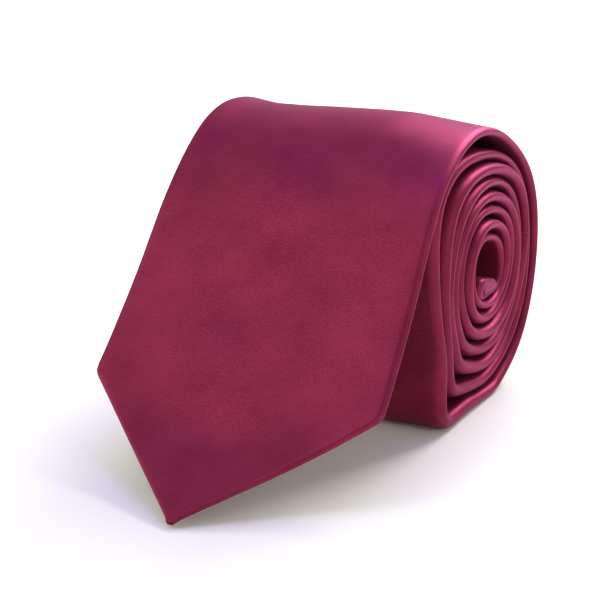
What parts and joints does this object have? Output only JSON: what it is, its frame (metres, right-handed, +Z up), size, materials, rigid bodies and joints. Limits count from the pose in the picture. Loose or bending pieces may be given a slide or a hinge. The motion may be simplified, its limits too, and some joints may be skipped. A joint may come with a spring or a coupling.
{
  "type": "necktie",
  "caption": "Sewn satin necktie rolled from its tail, with the pointed blade lying free in front; the blade lifts off the roll.",
  "frame": {"origin": "on the table, straight below the axis of the roll, at the middle of the blade's width", "axes": "+Z up; X along the roll's axis, with the tie's edges flush at the +X end; -Y towards the tip of the free blade"},
  "size_m": [0.08, 0.1523, 0.079],
  "materials": {
    "satin": "fine burgundy satin, soft sheen",
    "interlining": "brushed wool blend, matt",
    "lining": "plain woven lining, slight sheen",
    "label": "woven label, plain and unmarked",
    "thread": "matt sewing thread"
  },
  "bodies": {
    "roll": {"blade_wound_shell": "satin", "neck_shell": "satin", "tail_shell": "satin", "tail_end_shell": "satin", "blade_interlining": "interlining", "tail_interlining": "interlining", "tail_tipping": "lining", "wound_slip_stitch": "thread", "tail_bar_tack": "thread", "blade_neck_seam": "thread", "neck_tail_seam": "thread", "keeper_loop": "satin", "keeper_tack_left": "thread", "keeper_tack_right": "thread", "label": "label", "label_stitch_left": "thread", "label_stitch_right": "thread", "care_label": "label"},
    "free_blade": {"blade_flap_shell": "satin", "flap_interlining": "interlining", "blade_tipping": "lining", "flap_slip_stitch": "thread", "blade_bar_tack": "thread"}
  },
  "joints": [
    {"name": "blade_lift", "type": "hinge", "parent": "roll", "child": "free_blade", "pos_m": [0, -0.00612, 0.07856], "axis": [-1, 0, 0], "range_deg": [0, 75]}
  ]
}
